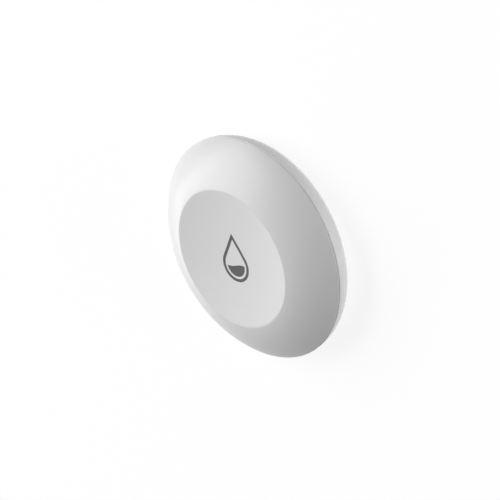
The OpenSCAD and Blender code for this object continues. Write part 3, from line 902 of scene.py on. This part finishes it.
@dataclass
class Button(Assembly):
    """Dished press button with its retaining flange, its stem and the inlaid drop mark."""

    edge_r: float = 16.695
    dish_depth: float = 1.2
    flange_r: float = 17.4
    flange_z: float = 10.5
    flange_top_z: float = 11.05
    pocket_r: float = 15.03
    pocket_z: float = 10.9
    stem_r: float = 1.5
    stem_z: float = 10.25
    edge_fillet: float = 0.04
    small_fillet: float = 0.1
    drop_r: float = 4.05
    drop_h: float = 12.0
    line_w: float = 0.75
    fill_r: float = 2.75
    wave_h: float = 0.4
    water_low: float = 0.05
    mark_depth: float = 0.25
    mark_proud: float = 0.012

    def dish(self, r: np.ndarray) -> np.ndarray:
        """Height of the dished face at a radius: a shallow sphere through its edge and centre."""
        radius = (self.edge_r**2 + self.dish_depth**2) / (2 * self.dish_depth)
        return self.datum.top_z - self.dish_depth + radius - np.sqrt(radius**2 - r**2)

    def section(self) -> list[Corner]:
        """Section of the cap.

        Returns:
            Its corners, from the centre of the dish round the flange to the stem.
        """
        r = np.linspace(0.0, self.edge_r, ARC_STEPS + 1)[:-1]
        return [
            *as_corners(np.stack([r, self.dish(r)], axis=-1)),
            Corner(self.edge_r, self.datum.top_z, self.edge_fillet), Corner(self.edge_r, self.flange_top_z),
            Corner(self.flange_r, self.flange_top_z, self.small_fillet),
            Corner(self.flange_r, self.flange_z, self.small_fillet), Corner(self.pocket_r, self.flange_z),
            Corner(self.pocket_r, self.pocket_z, self.small_fillet),
            Corner(self.stem_r, self.pocket_z, self.small_fillet),
            Corner(self.stem_r, self.stem_z, self.small_fillet), Corner(0, self.stem_z),
        ]

    def drop_outline(self) -> np.ndarray:
        """Outline of a drop on a unit circle: its lower arc and the two tangents to its tip.

        The tangents meet the circle at an angle a above the horizontal with sin a = r / l,
        for the tip's distance l from the circle's centre.

        Returns:
            Rows of (x, y), from the tip down the right side and up the left.
        """
        a = math.asin(self.drop_r / (self.drop_h - self.drop_r))
        turn = np.linspace(a, -math.pi - a, 4 * ARC_STEPS + 1)
        arc = np.stack([np.cos(turn), np.sin(turn)], axis=-1)
        tip = np.array([0.0, 1 / math.sin(a)])
        way = np.linspace(0.0, 1.0, ARC_STEPS, endpoint=False)[:, None]
        return np.concatenate([tip + way * (arc[0] - tip), arc[:-1], arc[-1] + way * (tip - arc[-1])])

    def drop_line(self) -> Surface:
        """The mark's outline: a flat section carried round the drop and bent onto the dish.

        Returns:
            The closed ring.
        """
        inner, outer, low, high = self.drop_r - self.line_w, self.drop_r, -self.mark_depth, self.mark_proud
        section = np.array([(inner, low), (outer, low), (outer, high), (inner, high)])
        across = section[:, :1, None] * self.drop_outline() + np.array([0.0, self.drop_r - self.drop_h / 2])
        height = self.dish(np.linalg.norm(across, axis=-1)) + section[:, 1:]
        points = np.dstack([across, height]).reshape(-1, 3)
        return Surface(points, grid_faces(len(section), across.shape[1], True, True))

    def drop_water(self) -> Surface:
        """The mark's water: a disc below a sine wave, bent onto the dish.

        The wave meets the disc's left side where x^2 + wave(x)^2 is the square of its radius.

        Returns:
            The closed patch.
        """

        def wave(x: np.ndarray) -> np.ndarray:
            """Height of the water's surface over the middle of the disc."""
            return self.wave_h * np.sin(math.pi * x / self.drop_r) - self.water_low

        left, right = -self.fill_r, self.fill_r
        for _ in range(SETTLE_ROUNDS):
            left = -math.sqrt(self.fill_r**2 - float(wave(left)) ** 2)
        turn = np.linspace(0.0, math.pi, 2 * ARC_STEPS + 1)
        x = (right + left) / 2 - (right - left) / 2 * np.cos(turn)
        disc = np.sqrt(np.maximum(self.fill_r**2 - x**2, 0.0))
        rise = np.linspace(0.0, 1.0, ARC_STEPS // 2)[:, None]
        y = rise * (np.minimum(wave(x), disc) + disc) - disc
        across = np.dstack([x + 0 * y, y + self.drop_r - self.drop_h / 2])
        face = self.dish(np.linalg.norm(across, axis=-1))
        return slab(across, face - self.mark_depth, face + self.mark_proud)

    def build(self, shelf: Shelf) -> None:
        """Turn the cap, carry the mark round its outline, and fix both to the button.

        Args:
            shelf: The materials.
        """
        cap = revolve(self.section(), steps=TURN_STEPS).piece("button_face")
        shelf.fix(cap, "button", "button_plastic", "button_cap")
        mark = together([self.drop_line(), self.drop_water()]).piece("drop_inlay")
        shelf.fix(mark, "button", "mark_grey", "drop_mark")


@dataclass
class BatteryDoor(Assembly):
    """Turn-off battery door with a coin slot, a skirt and three cam pins."""

    flange_r: float = 14.66
    flange_z: float = 2.0
    skirt_in_r: float = 10.9
    skirt_out_r: float = 12.3
    skirt_z: float = 4.7
    pin_r: float = 0.6
    pin_z: float = 3.9
    pin_tip_r: float = 13.3
    slot_l: float = 14.0
    slot_w: float = 1.8
    slot_depth: float = 0.9
    edge_fillet: float = 0.25
    small_fillet: float = 0.1
    slot_chamfer: float = 0.15

    def section(self) -> list[Corner]:
        """Section of the door.

        Returns:
            Its corners, from the centre of the outside round to the inside.
        """
        return [
            Corner(0, self.datum.under_z), Corner(self.flange_r, self.datum.under_z, self.edge_fillet),
            Corner(self.flange_r, self.flange_z, self.small_fillet), Corner(self.skirt_out_r, self.flange_z),
            Corner(self.skirt_out_r, self.skirt_z, self.small_fillet),
            Corner(self.skirt_in_r, self.skirt_z, self.small_fillet), Corner(self.skirt_in_r, self.flange_z),
            Corner(0, self.flange_z),
        ]

    def build(self, shelf: Shelf) -> None:
        """Turn the plate, add its pins, cut its coin slot, and fix it to the door.

        Args:
            shelf: The materials.
        """
        plate = revolve(self.section(), steps=TURN_STEPS).piece("door_plate")
        root = (self.skirt_in_r + self.skirt_out_r) / 2
        pin = revolve(rod(self.pin_r, root, self.pin_tip_r, high_fillet=self.small_fillet))
        pins = [pin.laid(self.pin_z).turned(a) for a in FOOT_ANGLES]
        combine(plate, together(pins), "UNION")
        low, straight = self.datum.under_z, self.slot_l - self.slot_w
        slot = drill(self.slot_w / 2, low, low + self.slot_depth, self.slot_chamfer, straight)
        combine(plate, slot, "DIFFERENCE")
        shelf.fix(plate, "door", "base_plastic", "battery_door")


@dataclass
class FloorContacts(Assembly):
    """Soft feet and steel probes on the underside."""

    foot_top_z: float = 1.3
    foot_fillet: float = 0.35
    head_z: float = 0.3
    head_top_z: float = 1.0
    head_fillet: float = 0.25
    shank_r: float = 1.0
    shank_z: float = 5.1
    small_fillet: float = 0.1

    def build(self, shelf: Shelf) -> None:
        """Turn one foot and one probe, copy them round their ring, and fix them to the housing.

        Args:
            shelf: The materials.
        """
        d = self.datum
        foot = revolve(rod(d.foot_r, 0.0, self.foot_top_z, self.foot_fillet))
        feet = together(d.round_ring(foot, FOOT_ANGLES)).piece("silicone_feet")
        shelf.fix(feet, "housing", "foot_silicone", "foot_pads")
        stud = [
            Corner(0, self.head_z), Corner(d.head_r, self.head_z, self.head_fillet),
            Corner(d.head_r, self.head_top_z, self.small_fillet), Corner(self.shank_r, self.head_top_z),
            Corner(self.shank_r, self.shank_z, self.small_fillet), Corner(0, self.shank_z),
        ]
        studs = together(d.round_ring(revolve(stud), PROBE_ANGLES)).piece("probe_pins")
        shelf.fix(studs, "housing", "probe_steel", "probe_studs")


@dataclass
class Seals(Assembly):
    """Rubber rings that keep the water out, and the foam pad between door and cell."""

    flat_share: float = 0.15
    pad_fillet: float = 0.06

    def ring(self, node: str, steps: int) -> Surface:
        """A rubber ring as large as a CAD ring, pressed a little flat by its groove.

        Its section is a square as high as the node's box. The corners are rounded by nearly
        half its side, so that narrow flats are left where the ring is squeezed.

        Args:
            node: The CAD ring, or the pair of rings on the probes.
            steps: Number of steps in the turn.

        Returns:
            The ring about Z.
        """
        low, high = [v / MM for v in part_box(node)]
        side, outer = high.z - low.z, (high.y - low.y) / 2
        fillet = (1 - self.flat_share) * side / 2
        places = ((outer - side, low.z), (outer, low.z), (outer, high.z), (outer - side, high.z))
        return revolve([Corner(*place, fillet) for place in places], closed=True, steps=steps)

    def build(self, shelf: Shelf) -> None:
        """Make the rings of rim, door and probes and the pad, and fix each to its body.

        Args:
            shelf: The materials.
        """
        rim = self.ring("case_seal", TURN_STEPS).piece("rim_ring")
        shelf.fix(rim, "housing", "seal_rubber", "case_seal")
        door = self.ring("door_seal", TURN_STEPS).piece("door_ring")
        shelf.fix(door, "seal_carrier", "seal_rubber", "door_seal")
        small = self.ring("probe_seals", HOLE_STEPS)
        probes = together(self.datum.round_ring(small, PROBE_ANGLES)).piece("probe_rings")
        shelf.fix(probes, "housing", "seal_rubber", "probe_seals")
        low, high = [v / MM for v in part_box("cell_pad")]
        pad = rod(high.x, low.z, high.z, self.pad_fillet, self.pad_fillet)
        foam = revolve(pad, steps=TURN_STEPS).piece("cell_foam")
        shelf.fix(foam, "door", "pad_foam", "cell_pad")


@dataclass
class PressParts(Assembly):
    """What gives way under the button: the silicone membrane and the switch's snap dome."""

    sheet_z: float = 9.8
    sheet_top_z: float = 10.2
    rim_in_r: float = 17.6
    boss_r: float = 2.2
    boss_gap: float = 0.02
    nub_r: float = 1.0
    dome_t: float = 0.06
    fillet: float = 0.08

    def sheet(self) -> Surface:
        """The membrane's clamped rim and the flat sheet inside it, up to the boss that moves.

        Returns:
            The ring about Z.
        """
        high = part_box("button_membrane")[1] / MM
        inner = self.boss_r + self.boss_gap
        section = [
            Corner(inner, self.sheet_z), Corner(high.x, self.sheet_z, self.fillet),
            Corner(high.x, high.z, self.fillet), Corner(self.rim_in_r, high.z, self.fillet),
            Corner(self.rim_in_r, self.sheet_top_z, self.fillet), Corner(inner, self.sheet_top_z),
        ]
        return revolve(section, closed=True, steps=TURN_STEPS)

    def boss(self) -> Surface:
        """The membrane's boss: a disc under the button's stem, with a nub over the plunger.

        Returns:
            The closed boss about Z.
        """
        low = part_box("button_membrane")[0] / MM
        section = [
            Corner(0, low.z), Corner(self.nub_r, low.z, self.fillet),
            Corner(self.nub_r, self.sheet_z, self.fillet), Corner(self.boss_r, self.sheet_z),
            Corner(self.boss_r, self.sheet_top_z), Corner(0, self.sheet_top_z),
        ]
        return revolve(section)

    def dome(self) -> Surface:
        """The snap dome: a thin sheet whose rise falls from its middle as 1 - (r / R)^2.

        Returns:
            The closed sheet about Z.
        """
        low, high = [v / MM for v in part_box("switch_dome")]
        r = np.linspace(0.0, high.x, ARC_STEPS)
        under = low.z + (high.z - low.z - self.dome_t) * (1 - (r / high.x) ** 2)
        upper = np.stack([r, under + self.dome_t], axis=-1)[::-1]
        rows = np.concatenate([np.stack([r, under], axis=-1), upper])
        return revolve(as_corners(rows))

    def build(self, shelf: Shelf) -> None:
        """Split the membrane where it moves, and make the dome as a fixed curved sheet between switch and
        plunger.

        Args:
            shelf: The materials.
        """
        sheet = self.sheet().piece("membrane_sheet")
        shelf.fix(sheet, "housing", "membrane_silicone", "button_membrane")
        boss = self.boss().piece("membrane_boss")
        shelf.fix(boss, "button", "membrane_silicone", "button_membrane")
        dome = self.dome().piece("snap_disc")
        shelf.dress(dome, "shield_metal", "switch_dome")
        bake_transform(dome)


class Inside:
    """CAD nodes that keep their shape: board, cell, switch, contacts and fasteners."""

    def dress(self, frame: dict, shelf: Shelf) -> None:
        """Give every node that is still shown the finish of its slot.

        Args:
            shelf: The materials.
        """
        for row in frame["record"]["subparts"]:
            node = frame["nodes"][row["node"]]
            if node.hide_render:
                continue
            node.data.materials.clear()
            node.data.materials.append(shelf.material(row["material_slot"]))
            LOG.info("%s keeps its shape, finish %s", row["node"], row["material_slot"])


# Studio


@dataclass(frozen=True)
class Lamp:
    """A soft rectangular lamp that points at the puck."""

    name: str
    azimuth_deg: float
    elevation_deg: float
    width_mm: float
    height_mm: float
    watts: float
    far_mm: float

    def way(self) -> Vector:
        """Unit direction to the lamp: the azimuth turns from +X about Z, the elevation rises."""
        a, e = math.radians(self.azimuth_deg), math.radians(self.elevation_deg)
        return Vector((math.cos(a) * math.cos(e), math.sin(a) * math.cos(e), math.sin(e)))


@dataclass
class Studio:
    """Pale floor, soft lights and a camera at the photograph's angle."""

    datum: Datum
    azimuth_deg: float = 121.0
    elevation_deg: float = 37.77
    roll_deg: float = -118.51
    distance_mm: float = 500.0
    px_per_mm: float = 4.416
    centre_px: tuple[float, float] = (251.34, 248.73)
    sensor_mm: float = 36.0
    view_end_m: float = 100.0
    lamps: tuple[Lamp, ...] = (
        Lamp("key_lamp", 153.0, 42.0, 2960.0, 2160.0, 63.0, 2400.0),
        Lamp("low_lamp", 199.0, 14.0, 1200.0, 600.0, 7.4, 2400.0),
        Lamp("side_lamp", 7.0, 4.0, 300.0, 75.0, 0.94, 600.0),
        Lamp("table_lamp", 2.0, -47.0, 400.0, 300.0, 1.4, 600.0),
        Lamp("under_lamp", 0.0, -90.0, 400.0, 400.0, 0.6, 600.0),
    )
    fill: float = 0.13
    floor_half_mm: float = 3000.0
    floor_glow: float = 0.85
    floor_grey: float = 0.2
    bounce_grey: float = 0.35

    def axes(self) -> tuple[Vector, Vector, Vector]:
        """Right, up and back directions of the rolled camera.

        For an azimuth a and an elevation e, back is (sin a cos e, -cos a cos e, sin e) and the
        level right is (cos a, sin a, 0). The roll turns right and up about back.

        Returns:
            The three unit directions.
        """
        a, e, roll = [math.radians(v) for v in (self.azimuth_deg, self.elevation_deg, self.roll_deg)]
        back = Vector((math.sin(a) * math.cos(e), -math.cos(a) * math.cos(e), math.sin(e)))
        level = Vector((math.cos(a), math.sin(a), 0.0))
        rise = back.cross(level)
        right = math.cos(roll) * level + math.sin(roll) * rise
        return right, back.cross(right), back

    def add_camera(self) -> None:
        """Aim a long lens at the parting plane's centre, placed where the photograph has it."""
        right, up, back = self.axes()
        middle = IMAGE_SIDE_PX / 2
        aside = (self.centre_px[0] - middle) / self.px_per_mm
        above = (middle - self.centre_px[1]) / self.px_per_mm
        aim = Vector((0, 0, self.datum.seam_z)) - aside * right - above * up
        lens = bpy.data.cameras.new("photo_camera")
        lens.sensor_width = self.sensor_mm
        lens.lens = self.sensor_mm * self.distance_mm * self.px_per_mm / IMAGE_SIDE_PX
        lens.clip_end = self.view_end_m
        camera = placed("photo_camera", lens)
        turn = Matrix((right, up, back)).transposed().to_4x4()
        camera.matrix_world = Matrix.Translation((aim + self.distance_mm * back) * MM) @ turn
        bpy.context.scene.camera = camera

    def add_lamp(self, lamp: Lamp) -> None:
        """Hang a lamp so that it points at the parting plane's centre.

        Args:
            lamp: The lamp.
        """
        light = bpy.data.lights.new(lamp.name, "AREA")
        light.shape = "RECTANGLE"
        light.size, light.size_y = lamp.width_mm * MM, lamp.height_mm * MM
        light.energy = lamp.watts
        out = lamp.way()
        place = (Vector((0, 0, self.datum.seam_z)) + lamp.far_mm * out) * MM
        turn = out.to_track_quat("Z", "Y").to_matrix().to_4x4()
        placed(lamp.name, light).matrix_world = Matrix.Translation(place) @ turn

    def seen(self, tree: bpy.types.NodeTree) -> bpy.types.NodeSocket:
        """Tell rays that see a surface from light that only bounces off it.

        Args:
            tree: The node tree of the floor or the room.

        Returns:
            The output that gives 1 for rays from the camera, a reflection or through glass.
        """
        path = add_node(tree, "ShaderNodeLightPath")
        names = ("Is Camera Ray", "Is Glossy Ray", "Is Transmission Ray")
        first, second, third = [path.outputs[name] for name in names]
        two = add_node(tree, "ShaderNodeMath", {0: first, 1: second}, operation="MAXIMUM")
        return add_node(tree, "ShaderNodeMath", {0: two.outputs[0], 1: third}, operation="MAXIMUM").outputs[0]

    def add_world(self) -> None:
        """An even white room: white where it is seen, and a softer fill where it lights."""
        world = bpy.data.worlds.new("studio_room")
        bpy.context.scene.world = world
        tree = fresh_tree(world)
        limits = {"Value": self.seen(tree), "To Min": self.fill, "To Max": 1.0}
        strength = add_node(tree, "ShaderNodeMapRange", limits).outputs["Result"]
        background = add_node(tree, "ShaderNodeBackground", {"Color": grey(1.0), "Strength": strength})
        add_node(tree, "ShaderNodeOutputWorld", {"Surface": background.outputs[0]})

    def add_floor(self) -> None:
        """A light table: white with a faint shadow from above, clear from below and to lamps."""
        half = self.floor_half_mm
        x, y = np.meshgrid(np.array([-half, half]), np.array([-half, half]))
        points = np.dstack([x, y, 0 * x]).reshape(-1, 3)
        floor = Surface(points, grid_faces(2, 2, False, False)).piece("studio_floor")
        paint = bpy.data.materials.new("studio_paper")
        tree = fresh_tree(paint)
        seen_grey = add_node(tree, "ShaderNodeBsdfDiffuse", {"Color": grey(self.floor_grey)})
        glow = add_node(tree, "ShaderNodeEmission", {"Strength": self.floor_glow})
        shown = add_node(tree, "ShaderNodeAddShader", {0: seen_grey.outputs[0], 1: glow.outputs[0]})
        bounce = add_node(tree, "ShaderNodeBsdfDiffuse", {"Color": grey(self.bounce_grey)})
        upper = {0: self.seen(tree), 1: bounce.outputs[0], 2: shown.outputs[0]}
        top = add_node(tree, "ShaderNodeMixShader", upper)
        clear = add_node(tree, "ShaderNodeBsdfTransparent")
        behind = add_node(tree, "ShaderNodeNewGeometry").outputs["Backfacing"]
        to_lamp = add_node(tree, "ShaderNodeLightPath").outputs["Is Shadow Ray"]
        through = add_node(tree, "ShaderNodeMath", {0: behind, 1: to_lamp}, operation="MAXIMUM")
        sides = {0: through.outputs[0], 1: top.outputs[0], 2: clear.outputs[0]}
        both = add_node(tree, "ShaderNodeMixShader", sides)
        add_node(tree, "ShaderNodeOutputMaterial", {"Surface": both.outputs[0]})
        floor.data.materials.append(paint)

    def build(self) -> None:
        """Set the colour handling, then add camera, lamps, room and floor."""
        bpy.context.scene.view_settings.view_transform = "Standard"
        self.add_camera()
        for lamp in self.lamps:
            self.add_lamp(lamp)
        self.add_world()
        self.add_floor()


def main() -> None:
    """Load the frame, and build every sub-assembly around it."""
    logging.basicConfig(level=logging.INFO, format="%(name)s: %(message)s")
    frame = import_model()
    datum = Datum.measured()
    Studio(datum).build()
    shelf = Shelf()
    for assembly in (Cover, Base, Button, BatteryDoor, FloorContacts, Seals, PressParts):
        assembly(datum).build(shelf)
    Inside().dress(frame, shelf)


if __name__ == "__main__":
    main()
